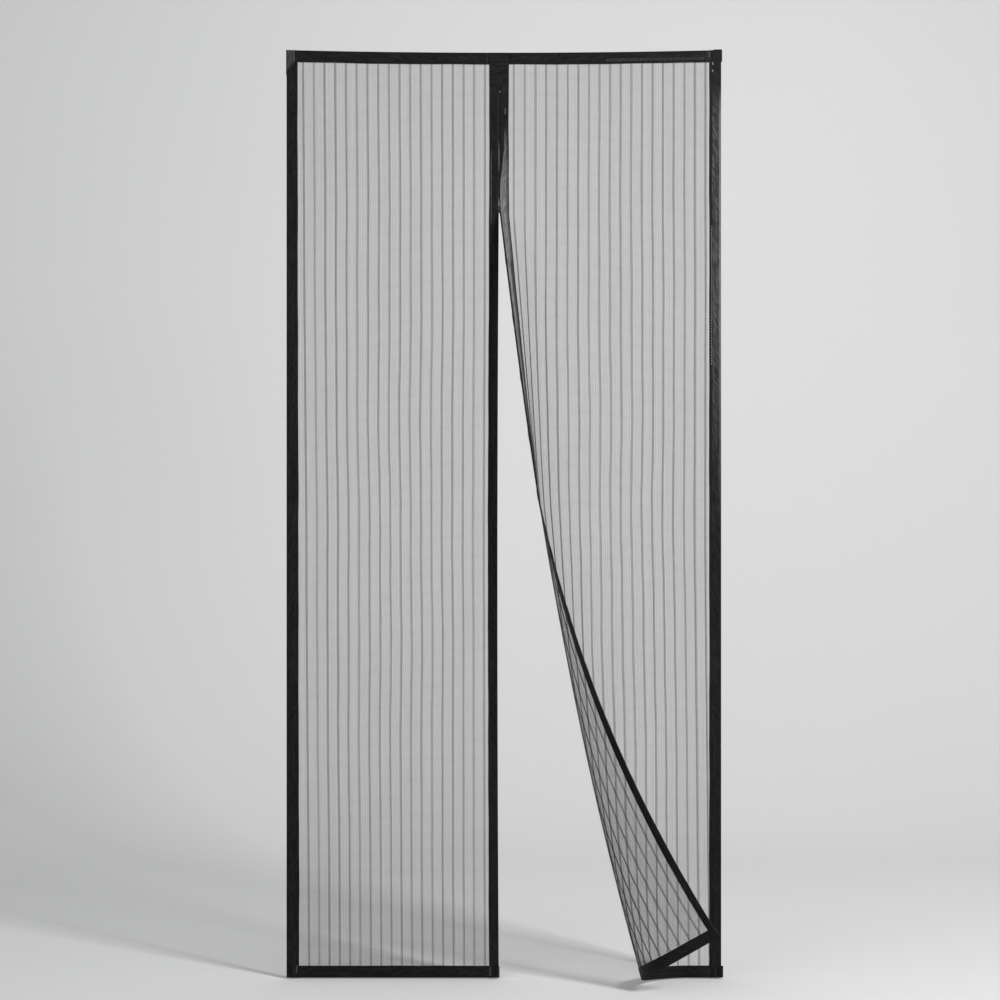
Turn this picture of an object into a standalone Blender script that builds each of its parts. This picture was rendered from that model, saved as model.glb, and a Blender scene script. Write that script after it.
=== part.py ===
"""Magnetic insect screen for a doorway: two net leaves that close on magnets in the middle.

Each leaf is a striped net bound in folded ribbon. The leaves are sewn together above the slit, and the
right leaf's free edge is rolled back towards the viewer, as it stands when someone has walked through.
Metres, +Z up, X to the right, the viewer on the -Y side. The back of the strips that stick to the
door is the plane y = 0, and the origin is in the middle of the head strip.
"""

import math

import bmesh
import bpy
from mathutils import Matrix, Vector

# The screen's outline
SCREEN_WIDTH = 0.984
SCREEN_HEIGHT = 2.100
SLIT_OFFSET = -0.011
SLIT_GAP = 0.001
SLIT_TOP = 0.355
HEAD_SAG = 0.006

# Cloth and ribbon
CLEARANCE = 0.0003
NET_THICKNESS = 0.0005
STRIPE_RISE = 0.00025
STRIPE_WIDTH = 0.004
STRIPE_PITCH = 0.024
LEFT_FIRST_STRIPE = 0.032
RIGHT_FIRST_STRIPE = 0.0335
GAP_WIDTH = 0.004
CROSS_BAND = 0.016
NET_PANELS = 4
ROW_ROOM = 0.0072
HEAD_COLUMN_STEP = 8
RIBBON = 0.0005
EDGE_TAPE = 0.027
MAGNET_TAPE = 0.022
PATCH_LENGTH = 0.077

# Hook-and-loop strips
STRIP_WIDTH = 0.020
HOOK_THICKNESS = 0.0015
LOOP_THICKNESS = 0.0015
STRIP_STEPS = 8

# Magnets in the ribbon along the slit
MAGNET_WIDTH = 0.008
MAGNET_LENGTH = 0.012
MAGNET_THICKNESS = 0.002
MAGNET_PITCH = 0.135
MAGNET_ROOM = 0.0008
MAGNETS_ABOVE = 2
POCKET_TAPER = 0.002

# The roll of the right leaf: it grows from the slit's top to the hem
ROLL_LEAN = 0.12
ROLL_REACH = 0.326
ROLL_REACH_GROWTH = 2.54
ROLL_TURN_TOP = math.radians(20)
ROLL_TURN_HEM = math.radians(165)
ROLL_TURN_GROWTH = 0.77
ROLL_RADIUS_TOP = 0.006
ROLL_RADIUS_HEM = 0.103
ROLL_RADIUS_GROWTH = 0.22
ROLL_ROWS = 18

# Finishes: colour, roughness
NET = ((0.03, 0.03, 0.032), 0.7)
SATIN = ((0.012, 0.012, 0.013), 0.45)
HOOK = ((0.02, 0.02, 0.02), 0.6)
LOOP = ((0.018, 0.018, 0.019), 0.95)
FERRITE = ((0.045, 0.042, 0.04), 0.5)

# Worked out from the sizes above
SLIT_X = SLIT_OFFSET
LEAF_WIDTH = {"left": SCREEN_WIDTH / 2 + SLIT_OFFSET, "right": SCREEN_WIDTH / 2 - SLIT_OFFSET}
FIRST_STRIPE = {"left": LEFT_FIRST_STRIPE, "right": RIGHT_FIRST_STRIPE}
LEAF_EDGE = SLIT_GAP / 2
ROLL_HEIGHT = SCREEN_HEIGHT - SLIT_TOP
ROLL_SWEEP = ROLL_REACH - ROLL_LEAN * ROLL_HEIGHT
NET_ROOM = NET_THICKNESS / 2 + STRIPE_RISE + CLEARANCE
TAPE_HALF = NET_ROOM + RIBBON
POCKET_ROOM = MAGNET_THICKNESS / 2 + MAGNET_ROOM
POCKET_HALF = POCKET_ROOM + RIBBON
POCKET_END = LEAF_EDGE + RIBBON + MAGNET_WIDTH + 2 * MAGNET_ROOM
NET_START = POCKET_END + POCKET_TAPER
MAGNET_TAPE_END = LEAF_EDGE + MAGNET_TAPE
PATCH_HALF = POCKET_HALF + CLEARANCE + RIBBON
LOOP_FRONT = TAPE_HALF + CLEARANCE
LOOP_BACK = LOOP_FRONT + LOOP_THICKNESS
NET_DEPTH = HOOK_THICKNESS + CLEARANCE + max(LOOP_BACK, PATCH_HALF)
FOLD_INSIDE = RIBBON + CLEARANCE
STRIP_INSET = (EDGE_TAPE - STRIP_WIDTH) / 2
SIDE_STRIP_TOP = STRIP_INSET + STRIP_WIDTH + CLEARANCE


def sag_at(x, t):
    """How far the head's middle hangs below its corners, fading to nothing at the hem."""
    across = x / (SCREEN_WIDTH / 2)
    return HEAD_SAG * (1 - across ** 2) * (1 - t / SCREEN_HEIGHT)


TOP_Z = EDGE_TAPE / 2 + sag_at(0, EDGE_TAPE / 2)


def roll_at(t):
    """The roll at depth t: slant of its lines, its turn, its radius, and where it leaves the flat net."""
    below = t - SLIT_TOP
    share = below / ROLL_HEIGHT
    reach = ROLL_LEAN * below + ROLL_SWEEP * share ** ROLL_REACH_GROWTH
    steepening = ROLL_REACH_GROWTH * share ** (ROLL_REACH_GROWTH - 1) / ROLL_HEIGHT
    slant = math.atan(ROLL_LEAN + ROLL_SWEEP * steepening)
    turn = ROLL_TURN_TOP + (ROLL_TURN_HEM - ROLL_TURN_TOP) * share ** ROLL_TURN_GROWTH
    radius = ROLL_RADIUS_TOP + (ROLL_RADIUS_HEM - ROLL_RADIUS_TOP) * share ** ROLL_RADIUS_GROWTH
    if turn >= math.pi / 2:
        start = reach + radius
    else:
        start = (reach + radius * (math.sin(turn) - turn * math.cos(turn))) / (1 - math.cos(turn))
    return slant, turn, radius, start


def cloth_point(leaf, u, t, n):
    """A point of a leaf: u out from the slit, t down from the top edge, n in front of the net's middle."""
    if leaf == "left":
        x = SLIT_X - u
        return Vector((x, -NET_DEPTH - n, TOP_Z - t - sag_at(x, t)))
    flat_x = SLIT_X + u
    drop = sag_at(flat_x, t)
    flat = Vector((flat_x, -NET_DEPTH - n, TOP_Z - t - drop))
    if t <= SLIT_TOP:
        return flat
    slant, turn, radius, start = roll_at(t)
    if u >= start:
        return flat
    along = (start - u) * math.sin(slant)
    wrapped = (start - u) * math.cos(slant)
    angle = min(wrapped / radius, turn)
    tail = wrapped - radius * angle
    back = -radius * math.sin(angle) - tail * math.cos(angle) + n * math.sin(angle)
    front = radius * (1 - math.cos(angle)) + tail * math.sin(angle) + n * math.cos(angle)
    return Vector((
        SLIT_X + start - along * math.sin(slant) + back * math.cos(slant),
        -NET_DEPTH - front,
        TOP_Z - t - drop + along * math.cos(slant) + back * math.sin(slant),
    ))


def leaf_cuts(leaf):
    """Depths of the plain bands that cross the net between its rows of gaps."""
    if leaf == "left":
        return [SCREEN_HEIGHT * i / NET_PANELS for i in range(1, NET_PANELS)]
    rows = [ROLL_ROWS * i // (NET_PANELS - 1) for i in range(NET_PANELS - 1)]
    return [SLIT_TOP + ROLL_HEIGHT * (row / ROLL_ROWS) ** 2 for row in rows]


def leaf_rows(leaf):
    """Depths where the leaf's cloth has a row of points, shared by its net and ribbons."""
    cuts = leaf_cuts(leaf)
    rows = {FOLD_INSIDE, EDGE_TAPE + CROSS_BAND}
    rows |= {SCREEN_HEIGHT - EDGE_TAPE - CROSS_BAND, SCREEN_HEIGHT - FOLD_INSIDE}
    for cut in cuts:
        rows |= {cut - CROSS_BAND / 2, cut + CROSS_BAND / 2}
    if leaf == "right":
        rows.add(SCREEN_HEIGHT - EDGE_TAPE)
        for i in range(ROLL_ROWS):
            row = SLIT_TOP + ROLL_HEIGHT * (i / ROLL_ROWS) ** 2
            if all(abs(row - other) > ROW_ROOM for other in rows):
                rows.add(row)
    return sorted(rows)


def stripes(leaf):
    """Distances of the raised stripes from the slit."""
    room = LEAF_WIDTH[leaf] - EDGE_TAPE - STRIPE_WIDTH - FIRST_STRIPE[leaf]
    count = int(room / STRIPE_PITCH) + 1
    return [FIRST_STRIPE[leaf] + i * STRIPE_PITCH for i in range(count)]


def net_columns(leaf):
    """Distances from the slit where the net has a column of points, and those where a gap begins."""
    columns = [NET_START, MAGNET_TAPE_END]
    gaps = []
    for centre in stripes(leaf):
        columns += [centre - STRIPE_WIDTH / 2, centre, centre + STRIPE_WIDTH / 2]
        columns.append(centre + STRIPE_WIDTH / 2 + GAP_WIDTH)
        gaps.append(centre + STRIPE_WIDTH / 2)
    columns.append(LEAF_WIDTH[leaf] - FOLD_INSIDE)
    return columns, gaps[:-1]


def material(name, colour, roughness, metallic=0.0):
    finish = bpy.data.materials.new(name)
    finish.use_nodes = True
    shader = finish.node_tree.nodes["Principled BSDF"]
    shader.inputs["Base Color"].default_value = (*colour, 1.0)
    shader.inputs["Roughness"].default_value = roughness
    shader.inputs["Metallic"].default_value = metallic
    finish.diffuse_color = (*colour, 1.0)
    return finish


def add_object(name, mesh_builder, finish):
    """Turns a finished bmesh into a named object with its own material."""
    bmesh.ops.recalc_face_normals(mesh_builder, faces=mesh_builder.faces)
    mesh = bpy.data.meshes.new(name)
    mesh_builder.to_mesh(mesh)
    mesh_builder.free()
    mesh.shade_smooth()
    mesh.set_sharp_from_angle(angle=math.radians(30))
    mesh.materials.append(material(name, *finish))
    piece = bpy.data.objects.new(name, mesh)
    bpy.context.scene.collection.objects.link(piece)
    return piece


def add_cell(builder, corners):
    """Two triangles over four corners (vertex, u, t), always cut along the same way of the cloth."""
    a, b, c, d = corners
    lean = (a[1] - c[1]) * (a[2] - c[2])
    if lean >= 0:
        halves = ((a, b, c), (a, c, d))
    else:
        halves = ((b, c, d), (b, d, a))
    for half in halves:
        builder.faces.new([corner[0] for corner in half])


def cloth_slab(leaf, columns, rows, depth, is_open=None):
    """A closed sheet over a grid of the cloth; depth(u) gives its back and front, is_open leaves gaps."""
    builder = bmesh.new()
    skins = []
    for side in (0, 1):
        grid = []
        for u in columns:
            line = []
            for t in rows:
                vertex = builder.verts.new(cloth_point(leaf, u, t, depth(u)[side]))
                line.append((vertex, u, t))
            grid.append(line)
        skins.append(grid)
    back, front = skins
    filled = set()
    for i in range(len(columns) - 1):
        for j in range(len(rows) - 1):
            if is_open is None or not is_open(columns[i], (rows[j] + rows[j + 1]) / 2):
                filled.add((i, j))
    for i, j in filled:
        add_cell(builder, [front[i][j], front[i][j + 1], front[i + 1][j + 1], front[i + 1][j]])
        add_cell(builder, [back[i][j], back[i + 1][j], back[i + 1][j + 1], back[i][j + 1]])
        walls = {
            (i - 1, j): ((i, j), (i, j + 1)),
            (i + 1, j): ((i + 1, j + 1), (i + 1, j)),
            (i, j - 1): ((i + 1, j), (i, j)),
            (i, j + 1): ((i, j + 1), (i + 1, j + 1)),
        }
        for neighbour, (first, second) in walls.items():
            if neighbour not in filled:
                p, q = first, second
                add_cell(builder, [front[p[0]][p[1]], back[p[0]][p[1]], back[q[0]][q[1]], front[q[0]][q[1]]])
    loose = [vertex for vertex in builder.verts if not vertex.link_faces]
    bmesh.ops.delete(builder, geom=loose, context="VERTS")
    return builder


def ribbon(leaf, section, stations, place):
    """A folded ribbon: its section's two paths (s in from the fold, n) are swept through the stations."""
    outside, inside = section
    path = outside + inside[::-1]
    builder = bmesh.new()
    rings = []
    for station in stations:
        ring = []
        for s, n in path:
            u, t = place(s, station)
            ring.append((builder.verts.new(cloth_point(leaf, u, t, n)), u, t))
        rings.append(ring)
    for ring, following in zip(rings, rings[1:]):
        for k in range(len(path)):
            m = (k + 1) % len(path)
            add_cell(builder, [ring[k], ring[m], following[m], following[k]])
    for ring in (rings[0], rings[-1]):
        for k in range(len(outside) - 1):
            add_cell(builder, [ring[k], ring[k + 1], ring[-k - 2], ring[-k - 1]])
    return builder


def folded_section(width, room):
    """Outer and inner path of a ribbon folded in half over an edge, with room on both sides of it."""
    thick = room + RIBBON
    outside = [(width, -thick), (0, -thick), (0, thick), (width, thick)]
    inside = [(width, -room), (RIBBON, -room), (RIBBON, room), (width, room)]
    return outside, inside


def pocket_section():
    """Outer and inner path of the magnet ribbon: a pocket at the fold, then two plies on the net."""
    pocket = POCKET_END - LEAF_EDGE
    taper = NET_START - LEAF_EDGE
    outside = [(0, POCKET_HALF), (pocket, POCKET_HALF), (taper, TAPE_HALF), (MAGNET_TAPE, TAPE_HALF)]
    inside = [(RIBBON, POCKET_ROOM), (pocket, POCKET_ROOM), (taper, NET_ROOM), (MAGNET_TAPE, NET_ROOM)]
    outside = [(s, -n) for s, n in reversed(outside)] + outside
    inside = [(s, -n) for s, n in reversed(inside)] + inside
    return outside, inside


def add_net(leaf):
    """The striped net: a ridge on both faces at each stripe, and a row of long gaps between bands."""
    columns, gaps = net_columns(leaf)
    crests = set(stripes(leaf))
    cuts = leaf_cuts(leaf)
    gap_top = EDGE_TAPE + CROSS_BAND
    gap_bottom = SCREEN_HEIGHT - EDGE_TAPE - CROSS_BAND

    def depth(u):
        half = NET_THICKNESS / 2 + (STRIPE_RISE if u in crests else 0)
        return -half, half

    def is_open(u, t):
        if u not in gaps or not gap_top < t < gap_bottom:
            return False
        return all(abs(t - cut) > CROSS_BAND / 2 for cut in cuts)

    add_object(f"{leaf}_net", cloth_slab(leaf, columns, leaf_rows(leaf), depth, is_open), NET)


def add_tapes(leaf):
    """The ribbons round a leaf: side and slit ones run the whole height, head and hem ones between."""
    width = LEAF_WIDTH[leaf]
    edge = folded_section(EDGE_TAPE, NET_ROOM)
    inner_end = MAGNET_TAPE_END + CLEARANCE
    outer_end = width - EDGE_TAPE - CLEARANCE
    columns = [inner_end] + [u for u in net_columns(leaf)[0] if inner_end < u < outer_end] + [outer_end]
    plain_columns = columns[:-1:HEAD_COLUMN_STEP] + [outer_end]
    hem_columns = columns if leaf == "right" else [inner_end, outer_end]
    rows = [FOLD_INSIDE] + leaf_rows(leaf)[1:-1] + [SCREEN_HEIGHT]

    side = ribbon(leaf, edge, [0, SCREEN_HEIGHT], lambda s, t: (width - s, t))
    add_object(f"{leaf}_side_tape", side, SATIN)
    head = ribbon(leaf, edge, plain_columns, lambda s, u: (u, s))
    add_object(f"{leaf}_head_tape", head, SATIN)
    hem = ribbon(leaf, edge, hem_columns, lambda s, u: (u, SCREEN_HEIGHT - s))
    add_object(f"{leaf}_hem_tape", hem, SATIN)
    slit_rows = rows if leaf == "right" else [rows[0], rows[-1]]
    slit = ribbon(leaf, pocket_section(), slit_rows, lambda s, t: (LEAF_EDGE + s, t))
    add_object(f"{leaf}_magnet_tape", slit, SATIN)


def add_join_patch():
    """The ribbon patch folded over both slit ribbons at the head, which joins the two leaves."""
    section = folded_section(PATCH_LENGTH, PATCH_HALF - RIBBON)
    ends = [-MAGNET_TAPE_END, MAGNET_TAPE_END]
    add_object("join_patch", ribbon("right", section, ends, lambda s, u: (u, s)), SATIN)


def add_strip(name, leaf, columns, rows, layer, finish):
    add_object(name, cloth_slab(leaf, columns, rows, lambda u: layer), finish)


def add_strips():
    """Loop strips sewn to the backs of the ribbons, and the hook strips stuck to the door."""
    loop_layer = (-LOOP_BACK, -LOOP_FRONT)
    hook_layer = (-NET_DEPTH, -NET_DEPTH + HOOK_THICKNESS)
    head_rows = [STRIP_INSET, STRIP_INSET + STRIP_WIDTH]
    side_rows = [SIDE_STRIP_TOP, SCREEN_HEIGHT - STRIP_INSET]
    for leaf in ("left", "right"):
        outer = LEAF_WIDTH[leaf] - STRIP_INSET
        inner = MAGNET_TAPE_END + CLEARANCE
        side_columns = [outer - STRIP_WIDTH, outer]
        head_columns = [inner + (outer - inner) * i / STRIP_STEPS for i in range(STRIP_STEPS + 1)]
        add_strip(f"{leaf}_head_loop_strip", leaf, head_columns, head_rows, loop_layer, LOOP)
        add_strip(f"{leaf}_side_loop_strip", leaf, side_columns, side_rows, loop_layer, LOOP)
        add_strip(f"{leaf}_side_hook_strip", leaf, side_columns, side_rows, hook_layer, HOOK)
    left_end = -(LEAF_WIDTH["left"] - STRIP_INSET)
    right_end = LEAF_WIDTH["right"] - STRIP_INSET
    steps = 2 * STRIP_STEPS
    columns = [left_end + (right_end - left_end) * i / steps for i in range(steps + 1)]
    add_strip("head_hook_strip", "right", columns, head_rows, hook_layer, HOOK)


def facet_point(leaf, u, t):
    """The middle of the magnet pocket at (u, t), on the flat facets that the ribbon is made of."""
    rows = [FOLD_INSIDE] + leaf_rows(leaf)[1:-1] + [SCREEN_HEIGHT]
    j = max(i for i in range(len(rows) - 1) if rows[i] <= t)
    across = (u - LEAF_EDGE) / (POCKET_END - LEAF_EDGE)
    down = (t - rows[j]) / (rows[j + 1] - rows[j])
    near_top, near_low = (cloth_point(leaf, LEAF_EDGE, row, 0) for row in rows[j:j + 2])
    far_top, far_low = (cloth_point(leaf, POCKET_END, row, 0) for row in rows[j:j + 2])
    if across >= down:
        return near_top + across * (far_top - near_top) + down * (far_low - far_top)
    return near_top + down * (near_low - near_top) + across * (far_low - near_low)


def add_magnets(leaf):
    """Small flat magnets in the pocket, one pair of them just above the slit's top."""
    centre_u = LEAF_EDGE + RIBBON + MAGNET_ROOM + MAGNET_WIDTH / 2
    first = SLIT_TOP - MAGNET_LENGTH - MAGNETS_ABOVE * MAGNET_PITCH
    count = int((SCREEN_HEIGHT - EDGE_TAPE - MAGNET_LENGTH - first) / MAGNET_PITCH) + 1
    half_width = MAGNET_WIDTH / 2
    half_length = MAGNET_LENGTH / 2
    for i in range(count):
        t = first + i * MAGNET_PITCH
        centre = facet_point(leaf, centre_u, t)
        across = facet_point(leaf, centre_u + half_width, t) - facet_point(leaf, centre_u - half_width, t)
        down = facet_point(leaf, centre_u, t + half_length) - facet_point(leaf, centre_u, t - half_length)
        across.normalize()
        out = across.cross(down).normalized()
        down = out.cross(across)
        turn = Matrix((across, down, out)).transposed().to_4x4()
        size = Matrix.Diagonal((MAGNET_WIDTH, MAGNET_LENGTH, MAGNET_THICKNESS, 1))
        builder = bmesh.new()
        bmesh.ops.create_cube(builder, size=1, matrix=Matrix.Translation(centre) @ turn @ size)
        add_object(f"{leaf}_magnet_{i + 1:02d}", builder, FERRITE)


def build():
    for old in list(bpy.data.objects):
        bpy.data.objects.remove(old)
    for leaf in ("left", "right"):
        add_net(leaf)
        add_tapes(leaf)
        add_magnets(leaf)
    add_join_patch()
    add_strips()


build()
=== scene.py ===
import math

import bmesh
import bpy
import numpy as np
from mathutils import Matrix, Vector


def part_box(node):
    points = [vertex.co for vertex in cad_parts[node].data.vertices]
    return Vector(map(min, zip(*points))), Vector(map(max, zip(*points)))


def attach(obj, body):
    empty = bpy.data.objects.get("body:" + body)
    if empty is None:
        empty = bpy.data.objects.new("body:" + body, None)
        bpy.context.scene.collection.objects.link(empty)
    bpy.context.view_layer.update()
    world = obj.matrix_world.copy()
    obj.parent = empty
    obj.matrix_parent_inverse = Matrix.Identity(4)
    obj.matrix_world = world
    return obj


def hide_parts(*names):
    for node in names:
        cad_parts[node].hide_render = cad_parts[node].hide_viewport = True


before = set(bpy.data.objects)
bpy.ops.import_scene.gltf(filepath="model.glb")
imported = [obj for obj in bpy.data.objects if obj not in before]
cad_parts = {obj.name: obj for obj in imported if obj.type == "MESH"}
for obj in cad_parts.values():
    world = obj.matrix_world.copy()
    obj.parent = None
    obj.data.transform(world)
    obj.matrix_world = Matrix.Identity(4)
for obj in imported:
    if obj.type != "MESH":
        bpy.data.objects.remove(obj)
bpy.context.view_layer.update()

# The net leaves. The real net is a knitted polyester mesh of hair-fine black yarn, a rectangle for
# each leaf, sewn into ribbons. Its finest yarn is one thin see-through sheet for each leaf. A point
# of a leaf is u out from the slit, t down from the top edge and n in front of the net's middle.
SCREEN_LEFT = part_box("left_side_tape")[0].x
SCREEN_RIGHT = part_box("right_side_tape")[1].x
TOP_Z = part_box("left_side_tape")[1].z
HEM_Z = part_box("left_side_tape")[0].z
HEIGHT = TOP_Z - HEM_Z
HALF_WIDTH = (SCREEN_RIGHT - SCREEN_LEFT) / 2
LEAF_EDGE = 0.0005
SLIT_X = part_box("left_magnet_tape")[1].x + LEAF_EDGE
NET_Y = (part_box("left_net")[0].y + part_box("left_net")[1].y) / 2
LEAF_WIDTH = {"left": SLIT_X - SCREEN_LEFT, "right": SCREEN_RIGHT - SLIT_X}
HEAD_SAG = 0.006
SLIT_TOP = 0.355
ROLL_LEAN = 0.12
ROLL_REACH = 0.326
ROLL_REACH_GROWTH = 2.54
ROLL_TURN_TOP = math.radians(20)
ROLL_TURN_HEM = math.radians(165)
ROLL_TURN_GROWTH = 0.77
ROLL_RADIUS_TOP = 0.006
ROLL_RADIUS_HEM = 0.103
ROLL_RADIUS_GROWTH = 0.22
WANDER = 0.0016
BILLOW = 0.0025
BOW = 0.003


def place(leaf, u, t, n=0.0):
    """Points of a leaf in metres in the row frame, for arrays of u, t and n."""
    u, t, n = (np.array(value, float) for value in np.broadcast_arrays(u, t, n))
    hand = -1 if leaf == "left" else 1
    x = SLIT_X + hand * u
    drop = HEAD_SAG * (1 - (x / HALF_WIDTH) ** 2) * (1 - t / HEIGHT)
    flat = np.stack([x, NET_Y - n, TOP_Z - t - drop], -1)
    if leaf == "left":
        return flat
    below = np.clip(t - SLIT_TOP, 1e-6, None)
    fall = HEIGHT - SLIT_TOP
    share = below / fall
    sweep = ROLL_REACH - ROLL_LEAN * fall
    reach = ROLL_LEAN * below + sweep * share ** ROLL_REACH_GROWTH
    slope = sweep * ROLL_REACH_GROWTH * share ** (ROLL_REACH_GROWTH - 1) / fall
    slant = np.arctan(ROLL_LEAN + slope)
    turn = ROLL_TURN_TOP + (ROLL_TURN_HEM - ROLL_TURN_TOP) * share ** ROLL_TURN_GROWTH
    radius = ROLL_RADIUS_TOP + (ROLL_RADIUS_HEM - ROLL_RADIUS_TOP) * share ** ROLL_RADIUS_GROWTH
    early = (reach + radius * (np.sin(turn) - turn * np.cos(turn))) / (1 - np.cos(turn))
    start = np.where(turn >= math.pi / 2, reach + radius, early)
    along = (start - u) * np.sin(slant)
    wrapped = (start - u) * np.cos(slant)
    angle = np.minimum(wrapped / radius, turn)
    tail = wrapped - radius * angle
    back = -radius * np.sin(angle) - tail * np.cos(angle) + n * np.sin(angle)
    front = radius * (1 - np.cos(angle)) + tail * np.sin(angle) + n * np.cos(angle)
    rolled = np.stack([
        SLIT_X + start - along * np.sin(slant) + back * np.cos(slant),
        NET_Y - front,
        TOP_Z - t - drop + along * np.cos(slant) + back * np.sin(slant),
    ], -1)
    is_rolled = (t > SLIT_TOP) & (u < start)
    return np.where(is_rolled[..., None], rolled, flat)


def rest(leaf, u, t):
    """How the loose net lies off its plain place: a small wander across, and a soft billow."""
    width = LEAF_WIDTH[leaf]
    hold = np.sin(np.pi * np.clip(u / width, 0, 1)) * np.sin(np.pi * np.clip(t / HEIGHT, 0, 1))
    across = WANDER * hold * (np.sin(7.1 * t + 9 * u) + 0.5 * np.sin(17.3 * t - 5 * u + 1)
                              + 0.25 * np.sin(41 * t + 60 * u))
    if leaf == "left":
        fall = np.clip((t - SLIT_TOP) / (HEIGHT - SLIT_TOP), 0, 1)
        across = across + BOW * np.sin(np.pi * fall) * (1 - np.clip(u / width, 0, 1)) ** 2
    out = BILLOW * hold * (0.6 + 0.5 * np.sin(5.2 * t + 11 * u) + 0.25 * np.sin(23 * u + 2.3 * t))
    return across, out


def grid_mesh(name, points, uv=None):
    """A mesh over a grid of points, with the grid's own (u, t) in metres as its UV map."""
    rows, columns = points.shape[:2]
    index = np.arange(rows * columns).reshape(rows, columns)
    quads = np.stack([index[:-1, :-1], index[1:, :-1], index[1:, 1:], index[:-1, 1:]], -1)
    quads = quads.reshape(-1, 4)
    mesh = bpy.data.meshes.new(name)
    mesh.from_pydata(points.reshape(-1, 3).tolist(), [], quads.tolist())
    if uv is not None:
        layer = mesh.uv_layers.new(name="cloth")
        corners = uv.reshape(-1, 2)[quads.reshape(-1)]
        layer.data.foreach_set("uv", corners.astype(np.float32).reshape(-1))
    return mesh


def add_piece(name, mesh, replaced=()):
    """Shows a finished mesh as a piece of the screen."""
    piece = bpy.data.objects.new(name, mesh)
    bpy.context.scene.collection.objects.link(piece)
    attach(piece, "root")
    if replaced:
        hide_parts(*replaced)
    return piece


NET_INSET = 0.004
SHEET_START = 0.006
SHEET_STEP = 0.007
SHEET_STEP_DOWN = 1.6
FINE_YARN_COVER = 0.11
FINE_YARN_DARK = (0.016, 0.016, 0.017)
FINE_YARN_LIGHT = (0.03, 0.03, 0.032)


class Wire:
    """A socket of a shader tree. Sums on wires add Math nodes, and add() makes any other node."""

    def __init__(self, tree, socket=None):
        self.tree = tree
        self.socket = socket

    def add(self, kind, values=None, output=0, **settings):
        node = self.tree.nodes.new(kind)
        for name, setting in settings.items():
            setattr(node, name, setting)
        for name, value in (values or {}).items():
            if isinstance(value, Wire):
                self.tree.links.new(value.socket, node.inputs[name])
            else:
                node.inputs[name].default_value = value
        return Wire(self.tree, node.outputs[output] if node.outputs else None)

    def math(self, operation, first, second=0.0):
        return self.add("ShaderNodeMath", {0: first, 1: second}, operation=operation)

    def __add__(self, other):
        return self.math("ADD", self, other)

    def __radd__(self, other):
        return self.math("ADD", other, self)

    def __sub__(self, other):
        return self.math("SUBTRACT", self, other)

    def __rsub__(self, other):
        return self.math("SUBTRACT", other, self)

    def __mul__(self, other):
        return self.math("MULTIPLY", self, other)

    def __rmul__(self, other):
        return self.math("MULTIPLY", other, self)

    def sine(self):
        return self.math("SINE", self)

    def noise(self, scale, detail, **more):
        """Noise from 0 to 1 over the place that this wire gives."""
        values = {"Vector": self, "Scale": scale, "Detail": detail, **more}
        return self.add("ShaderNodeTexNoise", values, output="Fac")

    def mix(self, low, high):
        """A colour between two, by this wire's value."""
        return self.add("ShaderNodeMix", {0: self, 6: (*low, 1), 7: (*high, 1)},
                        output=2, data_type="RGBA")


def new_finish(name):
    """An empty material and the wire that its nodes hang on."""
    material = bpy.data.materials.new(name)
    material.use_nodes = True
    material.node_tree.nodes.clear()
    return material, Wire(material.node_tree)


def finish_with(wire, values):
    surface = wire.add("ShaderNodeBsdfPrincipled", values, output="BSDF")
    wire.add("ShaderNodeOutputMaterial", {"Surface": surface})


def step_up(wire, low, high):
    """0 below low and 1 above high, smooth between."""
    return wire.add("ShaderNodeMapRange", {"Value": wire, "From Min": low, "From Max": high},
                    interpolation_type="SMOOTHSTEP")


def net_film_finish():
    material, wire = new_finish("fine_yarn_film")
    cloth = wire.add("ShaderNodeUVMap", uv_map="cloth")
    across = wire.add("ShaderNodeVectorMath", {0: cloth, 1: (420, 9, 1)}, operation="MULTIPLY")
    streak = across.noise(scale=1, detail=2)
    shade = cloth.noise(scale=6, detail=2)
    finish_with(wire, {
        "Base Color": streak.mix(FINE_YARN_DARK, FINE_YARN_LIGHT),
        "Roughness": 0.75,
        "Alpha": FINE_YARN_COVER * (0.45 + 0.7 * streak + 0.4 * shade),
    })
    return material


def leaf_sheet(leaf):
    """The thin sheet of a leaf as a piece, and the size that it is cut to."""
    columns = np.arange(NET_INSET + SHEET_START, LEAF_WIDTH[leaf] - NET_INSET, SHEET_STEP)
    rows = np.arange(NET_INSET, HEIGHT - NET_INSET, SHEET_STEP * SHEET_STEP_DOWN)
    u, t = np.meshgrid(columns, rows)
    across, out = rest(leaf, u, t)
    mesh = grid_mesh(f"{leaf}_net_sheet", place(leaf, u + across, t, out), np.stack([u, t], -1))
    mesh.shade_smooth()
    mesh.materials.append(film)
    cut = (columns[-1] - columns[0], rows[-1] - rows[0])
    return add_piece(f"{leaf}_net_sheet", mesh, [f"{leaf}_net"]), cut


film = net_film_finish()
sheets = {leaf: leaf_sheet(leaf) for leaf in ("left", "right")}


# The yarn of the net. Warp threads run down the net and weft threads across it, a little uneven in
# their spacing as knitted mesh is, and thicker bundles of warp make the dark stripes. All are laid
# out flat over a leaf's layout and then draped onto its hung shape.
MESH_PITCH = 0.0024
YARN_RADIUS = 0.00017
WARP_JITTER = 0.0006
STRIPE_PITCH = 0.024
FIRST_STRIPE = {"left": 0.032, "right": 0.0335}
STRIPE_COUNT = {"left": 18, "right": 19}
STRIPE_YARNS = 7
STRIPE_YARN_PITCH = 0.00072
STRIPE_YARN_RADIUS = 0.00019
STRIPE_JITTER = (0.00006, 0, 0.0001)
NET_START = 0.012
YARN_BENDS = {"left": (36, 12), "right": (64, 32)}
YARN_SEED = 7
LAYOUT_STEP = 0.004
LAYOUT_STEP_DOWN = 0.01
LEAN_TOP = 0.0043
LEAN_HEM = -0.0104
LEAN_WIDTH = 0.443
LEAN_CURVE = 1.4
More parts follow.
